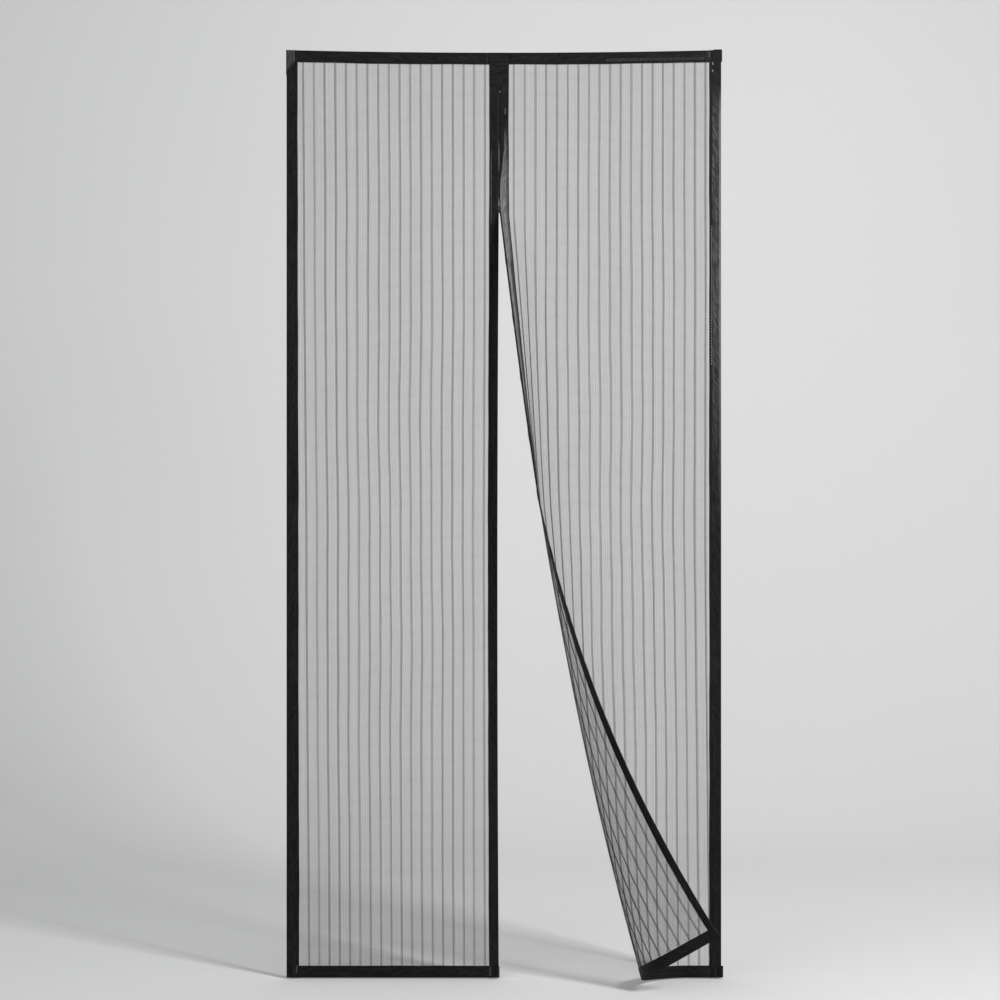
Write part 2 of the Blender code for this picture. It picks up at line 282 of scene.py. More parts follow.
PULL_OVER_ALL = 0.0021
PULL_FROM_FOLD = 0.15
PULL_STARTS = 0.75
PULL_GROWS = 0.55
PULL_LARGEST = 0.0095
PULL_KNOWN = 0.002
PULL_KNOWN_OUT = 0.38
PULL_KNOWN_DOWN = 1.245
PULL_PER_DOWN = 0.0114
PULL_PER_OUT = 0.025


def off_grain(leaf, u, t):
    """How far the yarn lies off its grain. The left leaf was cut askew, so its yarn leans inwards
    towards the hem. The right leaf's yarn is pulled outwards beside the roll."""
    if leaf == "left":
        share = t / HEIGHT
        return (u / LEAN_WIDTH) ** LEAN_CURVE * (LEAN_TOP * (1 - share) + LEAN_HEM * share)
    low = np.clip((t - PULL_STARTS) / PULL_GROWS, 0, 1)
    pulled = (PULL_KNOWN + PULL_PER_DOWN * (t - PULL_KNOWN_DOWN)
              - PULL_PER_OUT * (u - PULL_KNOWN_OUT))
    pulled = np.clip(pulled, 0, PULL_LARGEST)
    return np.clip(u / PULL_FROM_FOLD, 0, 1) * (PULL_OVER_ALL + pulled * low * low * (3 - 2 * low))


def leaf_layout(leaf, askew=False):
    """The leaf laid flat, u to the right and t down, that knows where each point hangs."""
    u, t = np.meshgrid(
        np.arange(0, LEAF_WIDTH[leaf] + LAYOUT_STEP, LAYOUT_STEP),
        np.arange(0, HEIGHT + LAYOUT_STEP_DOWN, LAYOUT_STEP_DOWN),
    )
    u = np.minimum(u, LEAF_WIDTH[leaf])
    t = np.minimum(t, HEIGHT)
    across, out = rest(leaf, u, t)
    if askew:
        across = across + off_grain(leaf, u, t)
    seat = place(leaf, u + across, t, out)
    normal = place(leaf, u + across, t, out + 0.001) - seat
    normal /= np.linalg.norm(normal, axis=-1)[..., None]
    mesh = grid_mesh(f"{leaf}_layout", np.stack([u, -t, np.zeros_like(u)], -1))
    for name, values in (("seat", seat), ("normal_out", normal)):
        attribute = mesh.attributes.new(name, "FLOAT_VECTOR", "POINT")
        attribute.data.foreach_set("vector", values.astype(np.float32).reshape(-1))
    return mesh


class Maker:
    """Builds one Geometry Nodes tree whose sizes are named inputs."""

    def __init__(self, name, sizes):
        self.tree = bpy.data.node_groups.new(name, "GeometryNodeTree")
        face = self.tree.interface
        face.new_socket("Layout", in_out="INPUT", socket_type="NodeSocketGeometry")
        for size, kind in sizes.items():
            face.new_socket(size, in_out="INPUT", socket_type=f"NodeSocket{kind}")
        face.new_socket("Finish", in_out="INPUT", socket_type="NodeSocketMaterial")
        face.new_socket("Piece", in_out="OUTPUT", socket_type="NodeSocketGeometry")
        self.given = self.tree.nodes.new("NodeGroupInput").outputs

    def add(self, kind, values, output=0, **settings):
        node = self.tree.nodes.new(kind)
        for name, setting in settings.items():
            setattr(node, name, setting)
        for name, value in values.items():
            if isinstance(value, bpy.types.NodeSocket):
                self.tree.links.new(value, node.inputs[name])
            else:
                node.inputs[name].default_value = value
        return node.outputs[output]

    def drape(self, pieces):
        """Moves what lies on the layout to where the leaf hangs, then gives it its finish."""
        position = self.add("GeometryNodeInputPosition", {})
        flat = self.add("ShaderNodeVectorMath", {0: position, 1: (1, 1, 0)}, operation="MULTIPLY")
        height = self.add("ShaderNodeSeparateXYZ", {0: position}, output=2)
        found = {}
        for name in ("seat", "normal_out"):
            value = self.add("GeometryNodeInputNamedAttribute", {"Name": name},
                             data_type="FLOAT_VECTOR")
            found[name] = self.add(
                "GeometryNodeSampleNearestSurface",
                {"Mesh": self.given["Layout"], "Value": value, "Sample Position": flat},
                data_type="FLOAT_VECTOR",
            )
        out = self.add("ShaderNodeVectorMath", {0: found["normal_out"], "Scale": height},
                       operation="SCALE")
        hung = self.add("ShaderNodeVectorMath", {0: found["seat"], 1: out}, operation="ADD")
        real = self.add("GeometryNodeRealizeInstances", {"Geometry": pieces})
        moved = self.add("GeometryNodeSetPosition", {"Geometry": real, "Position": hung})
        dressed = self.add("GeometryNodeSetMaterial", {
            "Geometry": moved, "Material": self.given["Finish"],
        })
        end = self.tree.nodes.new("NodeGroupOutput")
        self.tree.links.new(dressed, end.inputs["Piece"])

    def make(self, name, layout, values):
        """Runs the tree on a layout and returns the plain mesh that it gives."""
        bench = bpy.data.objects.new(name, layout)
        bpy.context.scene.collection.objects.link(bench)
        modifier = bench.modifiers.new(name, "NODES")
        modifier.node_group = self.tree
        for socket in self.tree.interface.items_tree:
            if socket.in_out == "INPUT" and socket.name in values:
                modifier[socket.identifier] = values[socket.name]
        bpy.context.view_layer.update()
        graph = bpy.context.evaluated_depsgraph_get()
        mesh = bpy.data.meshes.new_from_object(bench.evaluated_get(graph), depsgraph=graph)
        mesh.name = name
        mesh.materials.clear()
        mesh.materials.append(values["Finish"])
        mesh.polygons.foreach_set("material_index", [0] * len(mesh.polygons))
        bpy.data.objects.remove(bench)
        return mesh


def yarn_maker():
    """Rows of long three-sided threads: each starts at a point of a line and runs along Run."""
    maker = Maker("yarn", {
        "Start": "Vector", "Step": "Vector", "Count": "Int", "Strand Step": "Vector",
        "Strands": "Int", "Run": "Vector", "Bends": "Int", "Radius": "Float", "Jitter": "Vector",
    })
    given = maker.given
    line = maker.add("GeometryNodeMeshLine", {
        "Count": given["Count"], "Start Location": given["Start"], "Offset": given["Step"],
    })
    strands = maker.add("GeometryNodeMeshLine", {
        "Count": given["Strands"], "Offset": given["Strand Step"],
    })
    bundles = maker.add("GeometryNodeInstanceOnPoints", {"Points": line, "Instance": strands})
    points = maker.add("GeometryNodeRealizeInstances", {"Geometry": bundles})
    low = maker.add("ShaderNodeVectorMath", {0: given["Jitter"], 1: (-1, -1, -1)},
                    operation="MULTIPLY")
    uneven = maker.add("FunctionNodeRandomValue", {0: low, 1: given["Jitter"], "Seed": YARN_SEED},
                       data_type="FLOAT_VECTOR")
    spread = maker.add("GeometryNodeSetPosition", {"Geometry": points, "Offset": uneven})
    straight = maker.add("GeometryNodeCurvePrimitiveLine", {"End": given["Run"]})
    jointed = maker.add("GeometryNodeResampleCurve", {"Curve": straight, "Count": given["Bends"]})
    threads = maker.add("GeometryNodeInstanceOnPoints", {"Points": spread, "Instance": jointed})
    real = maker.add("GeometryNodeRealizeInstances", {"Geometry": threads})
    section = maker.add("GeometryNodeCurvePrimitiveCircle", {
        "Resolution": 3, "Radius": given["Radius"],
    })
    tubes = maker.add("GeometryNodeCurveToMesh", {
        "Curve": real, "Profile Curve": section, "Fill Caps": True,
    })
    maker.drape(tubes)
    return maker


def yarn_finish():
    material, wire = new_finish("yarn")
    where = wire.add("ShaderNodeTexCoord", output="Object")
    fibre = where.noise(scale=900, detail=2)
    pale_tone = where.noise(scale=14, detail=3)
    finish_with(wire, {
        "Base Color": pale_tone.mix((0.009, 0.009, 0.01), (0.02, 0.02, 0.021)),
        "Roughness": 0.55 + 0.25 * fibre,
        "Specular IOR Level": 0.25,
    })
    return material


yarn = yarn_finish()
spinner = yarn_maker()
yarn_layouts = {leaf: leaf_layout(leaf, True) for leaf in ("left", "right")}
net_threads = {"left": [], "right": []}
for leaf in ("left", "right"):
    net_wide = LEAF_WIDTH[leaf] - 2 * NET_START
    net_long = HEIGHT - 2 * NET_INSET
    stripe_start = FIRST_STRIPE[leaf] - STRIPE_YARN_PITCH * (STRIPE_YARNS - 1) / 2
    bends_down, bends_across = YARN_BENDS[leaf]
    single = {
        "Start": (NET_START, -NET_INSET, 0), "Strands": 1, "Radius": YARN_RADIUS, "Finish": yarn,
    }
    kinds = {
        "warp": {
            **single, "Step": (MESH_PITCH, 0, 0), "Count": int(net_wide / MESH_PITCH),
            "Run": (0, -net_long, 0), "Bends": bends_down, "Jitter": (WARP_JITTER, 0, 0),
        },
        "weft": {
            **single, "Step": (0, -MESH_PITCH, 0), "Count": int(net_long / MESH_PITCH),
            "Run": (net_wide, 0, 0), "Bends": bends_across, "Jitter": (0, WARP_JITTER / 4, 0),
        },
        "stripes": {
            "Start": (stripe_start, -NET_INSET, 0), "Step": (STRIPE_PITCH, 0, 0),
            "Count": STRIPE_COUNT[leaf], "Strand Step": (STRIPE_YARN_PITCH, 0, 0),
            "Strands": STRIPE_YARNS, "Run": (0, -net_long, 0), "Bends": bends_down,
            "Radius": STRIPE_YARN_RADIUS, "Jitter": STRIPE_JITTER, "Finish": yarn,
        },
    }
    for kind, values in kinds.items():
        mesh = spinner.make(f"{leaf}_net_{kind}", yarn_layouts[leaf], values)
        net_threads[leaf].append(add_piece(f"{leaf}_net_{kind}", mesh))


# The ribbons. Black satin ribbon is folded in half over every edge of a leaf and stitched through.
# Side and slit ribbons run the whole height, head and hem ones between them. The slit ribbons have
# a pocket at their fold that holds the magnets, and pucker where they pass from one to the next.
PLY = 0.0005
TAPE_HALF = 0.0013
TUCK_HALF = 0.0007
EDGE_TAPE = 0.027
LEFT_SIDE_TOP = 0.0248
LEFT_SIDE_HEM = 0.0288
MAGNET_TAPE = 0.022
MAGNET_TAPE_HEM = {"left": 0.022, "right": 0.0155}
FOLD_ROUND = 0.0013
SLIT_FOLD_ROUND = 0.0006
MAGNET_TAPE_END = LEAF_EDGE + MAGNET_TAPE
MAGNET_POCKET = 0.0115
POCKET_HALF = 0.0023
POCKET_SLACK = 0.0016
POCKET_NEAR = 0.016
POCKET_FADE = 0.009
SEAM = 0.0048
TUCK_RUN = 0.0006
SHUT_OVERLAP = 0.00004
SLACK_GAP = 0.00022
SLACK_STARTS = 0.195
SLACK_LENGTH = 0.085
PARTING_STARTS = 0.326
PARTING_LENGTH = 0.024
SATIN_DARK = (0.0015, 0.0015, 0.0016)
SATIN_LIGHT = (0.012, 0.012, 0.0122)
# Pale grey painted on as sheen where the satin catches the light.
SATIN_PAINTED_SHEEN = (0.2, 0.2, 0.205, 1)


def ribbon_finish(name, width, painted_sheen=None):
    """Satin: fine ribs, streaks and slanting creases, a sewn groove near the inner edge whose
    colour is darkened as painted shade, and a faint gloss. Where the given sheen mask is above 0, a
    paler crinkled grey is painted on as sheen."""
    material, wire = new_finish(name)
    cloth = wire.add("ShaderNodeUVMap", uv_map="cloth")
    side = wire.add("ShaderNodeSeparateXYZ", {0: cloth})
    along = wire.add("ShaderNodeSeparateXYZ", {0: cloth}, output=1)
    long_way = wire.add("ShaderNodeVectorMath", {0: cloth, 1: (330, 9, 1)}, operation="MULTIPLY")
    streak = long_way.noise(scale=1, detail=3)
    slanted = wire.add("ShaderNodeCombineXYZ", {"X": 210 * side + 80 * along, "Y": 42 * along})
    crease = slanted.noise(scale=1, detail=4, Roughness=0.65, Distortion=0.6)
    twill = 0.5 + 0.25 * (9000 * side).sine() + 0.25 * (9000 * along).sine()
    reach = wire.math("ABSOLUTE", side)
    from_seam = wire.math("ABSOLUTE", reach - (width - SEAM))
    groove = 1 - step_up(from_seam, 0.0003, 0.0013)
    height = 0.2 * twill + 0.5 * streak + crease - 0.5 * groove
    bump = wire.add("ShaderNodeBump", {"Height": height, "Strength": 0.5, "Distance": 0.0007})
    crumple = step_up(0.62 * crease + 0.38 * streak, 0.4, 0.62)
    # Painted shade: the colour is darkened in the seam groove, besides the groove's bump.
    tone = (0.15 + 0.85 * crumple) * (1 - 0.85 * groove)
    colour = tone.mix(SATIN_DARK, SATIN_LIGHT)
    if painted_sheen:
        # Painted sheen: a pale grey is mixed in where the mask says the satin catches the light.
        pale_tone = painted_sheen(side, along, crumple) * (1 - 0.6 * groove)
        colour = wire.add("ShaderNodeMix", {0: pale_tone, 6: colour, 7: SATIN_PAINTED_SHEEN},
                          output=2, data_type="RGBA")
    finish_with(wire, {
        "Base Color": colour,
        "Roughness": 0.34 + 0.3 * crease,
        "Specular IOR Level": 0.08,
        "Sheen Weight": 0.01,
        "Sheen Roughness": 0.35,
        "Normal": bump,
    })
    return material


def slit_painted_sheen(side, along, crumple):
    """Painted sheen on the front of the right slit ribbon, where it turns to the light: paler all
    but its edges and its pocket.
    """
    # Painted sheen mask: weaker at the top and over the inner half lower down.
    low = 0.0112 - 0.009 * step_up(along, 0.2, 0.31)
    window = step_up(side, low, low + 0.0012) * (1 - step_up(side, 0.0186, 0.0196))
    sheen_span = step_up(along, 0.16, 0.21) * (1 - step_up(along, 0.74, 0.89))
    inner_half = step_up(side, 0.009, 0.013) * step_up(along, 0.4, 0.5)
    upper = 1 - step_up(along, 0.2, 0.3)
    return window * sheen_span * (1 - 0.66 * inner_half) * (1 - 0.55 * upper) * (0.4 + 0.5 * crumple)


def side_painted_sheen(side, along, crumple):
    """Painted sheen on the right side ribbon's front where it catches the light, strongest as a
    painted highlight along its rounded fold edge.
    """
    front = step_up(side, -0.001, 0.0006) * (1 - step_up(side, 0.0195, 0.0215))
    sheen_span = step_up(along, 0.07, 0.16) * (1 - step_up(along, 0.5, 1.15))
    fold_side = 1 - step_up(side, 0.0030, 0.0058)
    return front * sheen_span * (0.06 + 0.22 * crumple + 0.5 * fold_side)


def corner_painted_sheen(side, along, crumple):
    """Painted sheen on the folded ribbon square at the top left, which lies across the light."""
    upper = step_up(0.05 - along - 1.2 * side, 0.0, 0.004)
    return step_up(side, 0.0008, 0.0022) * upper * (0.08 + 0.2 * crumple)


def magnet_depths():
    """How far down the slit each magnet sits."""
    found = []
    for name in sorted(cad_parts):
        if name.startswith("left_magnet_") and name != "left_magnet_tape":
            low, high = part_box(name)
            x = (low.x + high.x) / 2
            z = (low.z + high.z) / 2
            drop = HEAD_SAG * (1 - (x / HALF_WIDTH) ** 2)
            found.append((TOP_Z - z - drop) / (1 - drop / HEIGHT))
    return np.array(found)


def ripple(s, along, seed):
    """Small creases of a ribbon that was sewn on under tension."""
    slow = (np.sin(2 * np.pi * along / 0.31 + seed)
            + 0.6 * np.sin(2 * np.pi * along / 0.127 + 2.1 * seed))
    small = np.sin(2 * np.pi * (along / 0.0185 + s / 0.03) + 5 * seed)
    cross = np.sin(2 * np.pi * (along / 0.0119 - s / 0.021) + 3 * seed)
    return slow, small, cross


def ribbon_mesh(name, leaf, width, half, stations, where, seed, crease, fold=FOLD_ROUND):
    """A ribbon folded over an edge. Its section is swept along the stations, with creases, and
    closed at its ends. half gives its half thickness, and where its place on the leaf."""
    paths = []
    for inward in (0, PLY):
        flat = inward + fold + (width - inward - fold) * np.linspace(0, 1, 8)[1:]
        path = [(s, -1.0) for s in flat[::-1]]
        path += [(inward + fold * (1 - math.cos(a)), math.sin(a))
                 for a in np.radians(range(-90, 91, 30))]
        path += [(s, 1.0) for s in flat]
        paths.append(path)
    outer, inner = paths
    ring = [(s, k, 0) for s, k in outer] + [(s, k, PLY) for s, k in inner[::-1]]
    s = np.array([point[0] for point in ring])[None, :]
    way = np.array([point[1] for point in ring])[None, :]
    inward = np.array([point[2] for point in ring])[None, :]
    along = np.array(stations)[:, None]
    s, way, inward, along = np.broadcast_arrays(s, way, inward, along)
    slow, small, cross = ripple(s, along, seed)
    swell = crease * (0.5 * small * (1 + 0.5 * slow) + 0.35 * cross)
    swell = swell * np.clip(s / 0.004, 0, 1)
    n = way * (half(s, along) - inward) + swell
    s_now = s + 0.00025 * slow * np.clip(s / width, 0, 1)
    u, t = where(s_now, along)
    across, out = rest(leaf, u, t)
    points = place(leaf, u + across, t, n + out)
    rows, columns = points.shape[:2]
    index = np.arange(rows * columns).reshape(rows, columns)
    after = np.roll(index, -1, axis=1)
    quads = np.stack([index[:-1], after[:-1], after[1:], index[1:]], -1).reshape(-1, 4).tolist()
    count = len(outer)
    for row in (0, rows - 1):
        for k in range(count - 1):
            quads.append([int(index[row, m]) for m in (k, k + 1, columns - 2 - k, columns - 1 - k)])
    mesh = bpy.data.meshes.new(name)
    mesh.from_pydata(points.reshape(-1, 3).tolist(), [], quads)
    layer = mesh.uv_layers.new(name="cloth")
    flat_uv = np.stack([s * way, along], -1).reshape(-1, 2)
    corners = np.array([loop.vertex_index for loop in mesh.loops])
    layer.data.foreach_set("uv", flat_uv[corners].astype(np.float32).reshape(-1))
    tidy = bmesh.new()
    tidy.from_mesh(mesh)
    bmesh.ops.recalc_face_normals(tidy, faces=tidy.faces)
    tidy.to_mesh(mesh)
    tidy.free()
    mesh.shade_smooth()
    mesh.set_sharp_from_angle(angle=math.radians(50))
    return mesh


magnets_at = magnet_depths()


def edge_half(s, along):
    return np.full_like(s, TAPE_HALF)


def pocket_half(s, along):
    """The magnet pocket is fullest over a magnet and lies on the net past the pocket's seam."""
    nearest = np.min(np.abs(along[..., None] - magnets_at), axis=-1)
    full = np.clip((POCKET_NEAR - nearest) / POCKET_FADE, 0, 1)
    pocket = POCKET_SLACK + (POCKET_HALF - POCKET_SLACK) * full
    closing = np.clip((s - MAGNET_POCKET + 0.0015) / 0.002, 0, 1)
    return pocket + (TAPE_HALF - pocket) * closing


def tucked(first, last):
    """The half thickness of a ribbon whose ends run under the ribbons that cross it there."""
    def half(s, along):
        clear = np.clip(np.minimum(along - first, last - along) / TUCK_RUN, 0, 1)
        return TUCK_HALF + (TAPE_HALF - TUCK_HALF) * clear + 0 * s
    return half


def slit_edge(along):
    """How far a slit ribbon's fold keeps from the slit: shut but for one slack stretch, and parted
    from the bar tack down."""
    slack = SLACK_GAP * np.sin(np.pi * np.clip((along - SLACK_STARTS) / SLACK_LENGTH, 0, 1))
    parted = np.clip((along - PARTING_STARTS) / PARTING_LENGTH, 0, 1)
    return -SHUT_OVERLAP + slack + (LEAF_EDGE + SHUT_OVERLAP) * parted


def slit_width(leaf, along):
    """The right slit ribbon was drawn tighter towards the hem, so less of it shows there."""
    share = np.clip((along - SLIT_TOP) / (HEIGHT - SLIT_TOP), 0, 1)
    return MAGNET_TAPE + (MAGNET_TAPE_HEM[leaf] - MAGNET_TAPE) * share


def side_width(leaf, along):
    """The left side ribbon was sewn on deeper at the top, so less of it shows there."""
    if leaf == "right":
        return EDGE_TAPE
    return LEFT_SIDE_TOP + (LEFT_SIDE_HEM - LEFT_SIDE_TOP) * along / HEIGHT


satin = ribbon_finish("ribbon_satin", EDGE_TAPE)
# The right side, right slit and top-left corner satins have painted sheen in their colour.
sheen_side_satin = ribbon_finish("side_ribbon_satin", EDGE_TAPE, side_painted_sheen)
slit_satin = ribbon_finish("slit_ribbon_satin", MAGNET_TAPE)
sheen_slit_satin = ribbon_finish("painted_sheen_slit_satin", MAGNET_TAPE, slit_painted_sheen)
corner_satin = ribbon_finish("corner_satin", 0.02, corner_painted_sheen)
ribbons = {"left": [], "right": []}
LONG_STEP = 0.010
SLIT_STEP = LONG_STEP * 0.6
END_STEP = 0.007


def add_ribbon(name, leaf, finish, replaced, *shape, **more):
    mesh = ribbon_mesh(name, leaf, *shape, **more)
    mesh.materials.append(finish)
    ribbons[leaf].append(add_piece(f"{name}_ribbon", mesh, replaced))


def spaced(first, last, step):
    return np.linspace(first, last, max(2, int(round((last - first) / step)) + 1))


side_satin = {"left": satin, "right": sheen_side_satin}
magnet_satin = {"left": slit_satin, "right": sheen_slit_satin}
magnet_crease = {"left": 0.0002, "right": 0.0004}
for leaf, seed in (("left", 1.0), ("right", 2.3)):
    wide = LEAF_WIDTH[leaf]

    def by_side(s, along):
        return wide - s * side_width(leaf, along) / EDGE_TAPE, along

    def by_slit(s, along):
        return slit_edge(along) + s * slit_width(leaf, along) / MAGNET_TAPE, along

    add_ribbon(f"{leaf}_side_tape", leaf, side_satin[leaf], [f"{leaf}_side_tape"],
               EDGE_TAPE, edge_half, spaced(0, HEIGHT, LONG_STEP), by_side,
               seed=seed, crease=0.0003)
    for end, near, seed_more in (("head", 0, 1.7), ("hem", HEIGHT, 3.1)):
        first = LEAF_EDGE + slit_width(leaf, near)
        last = wide - side_width(leaf, near)
        stations = np.concatenate([
            [first - 0.003, first], spaced(first + TUCK_RUN, last - TUCK_RUN, END_STEP),
            [last, last + 0.002],
        ])
        add_ribbon(f"{leaf}_{end}_tape", leaf, satin, [f"{leaf}_{end}_tape"],
                   EDGE_TAPE, tucked(first, last), stations,
                   lambda s, along: (along, abs(near - s)), seed=seed + seed_more, crease=0.00025)
    add_ribbon(f"{leaf}_magnet_tape", leaf, magnet_satin[leaf], [f"{leaf}_magnet_tape"],
               MAGNET_TAPE, pocket_half, spaced(0.0008, HEIGHT, SLIT_STEP), by_slit,
               seed=seed + 5.2, crease=magnet_crease[leaf], fold=SLIT_FOLD_ROUND)


# The ribbon ends. At its bottom end each long ribbon is folded back on itself into a small square
# that stands a little proud of it, and so are the side ribbons at the top.
END_HALF = 0.0019
POCKET_END_HALF = 0.0029
SIDE_END_PROUD = {"left": 0.0, "right": 0.0045}
SLIT_END_PROUD = 0.0018
END_LOW = HEIGHT - 0.0004


def end_square(name, leaf, finish, width, half, first, last, where):
    """One folded square, from first to last down the leaf."""
    add_ribbon(name, leaf, finish, [], width, lambda s, along: half + 0 * s,
               spaced(first, last, 0.004), where, seed=6.3, crease=0.0003)


def outer_square(name, leaf, finish, width, proud, first, last):
    """A folded square on a side ribbon, so far proud of the leaf's outer edge."""
    edge = LEAF_WIDTH[leaf] + proud
    end_square(name, leaf, finish, width, END_HALF, first, last,
               lambda s, along: (edge - s, along))


for leaf in ("left", "right"):
    outer_square(f"{leaf}_side_end", leaf, satin, width=0.024, proud=SIDE_END_PROUD[leaf],
                 first=HEIGHT - 0.0265, last=END_LOW)
    end_square(f"{leaf}_slit_end", leaf, slit_satin, MAGNET_TAPE_HEM[leaf] + 0.001, POCKET_END_HALF,
               HEIGHT - 0.025, END_LOW, lambda s, along: (LEAF_EDGE - SLIT_END_PROUD + s, along))
outer_square("left_side_top", "left", corner_satin, width=0.02, proud=0.001,
             first=0.0003, last=0.056)
outer_square("right_side_top", "right", satin, width=0.0195, proud=0.0022,
             first=-0.0012, last=0.0265)


# The patch at the head. A short piece of the same ribbon is folded over both slit ribbons and sewn
# down, and is all that joins the two leaves above the magnets.
patch_low, patch_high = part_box("join_patch")
PATCH_LENGTH = 0.077
PATCH_HALF = (patch_high.y - patch_low.y) / 2


def patch_half(s, along):
    return np.full_like(s, PATCH_HALF)


patch_mesh = ribbon_mesh(
    "join_patch", "right", PATCH_LENGTH, patch_half,
    spaced(-MAGNET_TAPE_END, MAGNET_TAPE_END, 0.003),
    lambda s, along: (along, s), seed=4.4, crease=0.0002,
)
patch_mesh.materials.append(satin)
patch = add_piece("join_patch_ribbon", patch_mesh, ["join_patch"])
for leaf in ("left", "right"):
    extra = [patch] if leaf == "right" else []
    net_threads[leaf] + ribbons[leaf] + extra


# The magnets. Small blocks of pressed ferrite lie in the slit ribbons' pockets, a pair at each
# height. They show only as soft lumps in the ribbon.
MAGNET_WIDTH = 0.008
MAGNET_LENGTH = 0.012
MAGNET_THICKNESS = 0.002
MAGNET_ROOM = 0.0008


def magnet_finish():
    material, wire = new_finish("ferrite")
    where = wire.add("ShaderNodeTexCoord", output="Object")
    grain = where.noise(scale=1500, detail=3)
    bump = wire.add("ShaderNodeBump", {"Height": grain, "Strength": 0.3, "Distance": 0.0002})
    finish_with(wire, {
        "Base Color": grain.mix((0.03, 0.028, 0.026), (0.06, 0.056, 0.052)),
        "Roughness": 0.4 + 0.3 * grain,
        "Metallic": 0.2,
        "Normal": bump,
    })
    return material


def magnets_mesh(leaf):
    """All the magnets of a leaf, each turned to lie in the ribbon where it hangs."""
    blocks = bmesh.new()
    middle = LEAF_EDGE + PLY + MAGNET_ROOM + MAGNET_WIDTH / 2
    for t in magnets_at:
        sides = np.array([middle - MAGNET_WIDTH / 2, middle + MAGNET_WIDTH / 2, middle, middle])
        ends = np.array([t, t, t - MAGNET_LENGTH / 2, t + MAGNET_LENGTH / 2])
        across, out = rest(leaf, sides, ends)
        left, right, top, low = (Vector(point) for point in place(leaf, sides + across, ends, out))
        x_way = (right - left).normalized()
        z_way = x_way.cross(low - top).normalized()
        y_way = z_way.cross(x_way)
        block = bmesh.ops.create_cube(blocks, size=1)["verts"]
        centre = (left + right) / 2
        for vertex in block:
            x, y, z = vertex.co
            vertex.co = (centre + x * MAGNET_WIDTH * x_way + y * MAGNET_LENGTH * y_way
                         + z * MAGNET_THICKNESS * z_way)
    bmesh.ops.bevel(blocks, geom=blocks.edges[:], offset=0.0003, segments=2, affect="EDGES")
    bmesh.ops.recalc_face_normals(blocks, faces=blocks.faces)
    mesh = bpy.data.meshes.new(f"{leaf}_magnets")
    blocks.to_mesh(mesh)
    blocks.free()
    return mesh


ferrite = magnet_finish()
for leaf in ("left", "right"):
    mesh = magnets_mesh(leaf)
    mesh.materials.append(ferrite)
    names = [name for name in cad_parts
             if name.startswith(f"{leaf}_magnet_") and not name.endswith("tape")]
    add_piece(f"{leaf}_magnets", mesh, names)


# The stitching. Black polyester thread runs along the inner edge of every ribbon. A whipped row
# mends the head ribbon on the right, and a short bar of stitches at the slit's top stops it
# tearing. Small pale stitches are painted glints: they stand for specks of light on the thread and
# ribbon.
STITCH_LENGTH = 0.0028
STITCH_PITCH = 0.0040
STITCH_THICK = 0.0006
STITCH_ENDS = 0.04
STITCH_START = 0.01
STITCH_SEED = 3
SEWING_DARK, SEWING_LIGHT = (0.008, 0.008, 0.009), (0.04, 0.04, 0.042)
MENDING_DARK, MENDING_LIGHT = (0.035, 0.035, 0.037), (0.16, 0.16, 0.165)
# Painted glints: a pale thread for specks of light on the thread and ribbon.
GLINT_DARK, GLINT_LIGHT = (0.12, 0.12, 0.125), (0.5, 0.5, 0.51)
BAR_STITCHES = 10
BAR_PITCH = 0.0016
BAR_TOP = 0.3475
BAR_RADII = (0.0042, 0.0008, 0.0012)


def stitch_maker():
    """Small oval stitches in a row, each turned by Turn about the cloth's normal."""
    maker = Maker("stitches", {
        "Start": "Vector", "Step": "Vector", "Count": "Int", "Size": "Vector", "Turn": "Float",
        "Sway": "Float",
    })
    given = maker.given
    row = maker.add("GeometryNodeMeshLine", {
        "Count": given["Count"], "Start Location": given["Start"], "Offset": given["Step"],
    })
    oval = maker.add("GeometryNodeMeshIcoSphere", {"Radius": 0.5, "Subdivisions": 1})
    low = maker.add("ShaderNodeMath", {0: given["Sway"], 1: -1}, operation="MULTIPLY")
    sway = maker.add("FunctionNodeRandomValue", {2: low, 3: given["Sway"], "Seed": STITCH_SEED},
                     output=1)
    turn = maker.add("ShaderNodeMath", {0: given["Turn"], 1: sway}, operation="ADD")
    spin = maker.add("ShaderNodeCombineXYZ", {"Z": turn})
    rotation = maker.add("FunctionNodeEulerToRotation", {"Euler": spin})
    stitches = maker.add("GeometryNodeInstanceOnPoints", {
        "Points": row, "Instance": oval, "Rotation": rotation, "Scale": given["Size"],
    })
    maker.drape(stitches)
    return maker


def thread_finish(name, dark, light):
    material, wire = new_finish(name)
    where = wire.add("ShaderNodeTexCoord", output="Object")
    ply = where.noise(scale=1200, detail=2)
    finish_with(wire, {
        "Base Color": ply.mix(dark, light),
        "Roughness": 0.45 + 0.25 * ply,
        "Specular IOR Level": 0.25,
    })
    return material


def stitch_row(leaf, thread, start, step, count, size, turn=0.0, sway=0.06):
    """One row of stitches on a leaf's front or back."""
    return sewer.make("row", layouts[leaf], {
        "Start": start, "Step": step, "Count": count, "Size": size, "Turn": turn, "Sway": sway,
        "Finish": thread,
    })


def add_rows(name, thread, meshes):
    """One piece of several rows of the same thread."""
    whole = bmesh.new()
    for mesh in meshes:
        whole.from_mesh(mesh)
    result = bpy.data.meshes.new(name)
    whole.to_mesh(result)
    whole.free()
    result.materials.append(thread)
    add_piece(name, result)


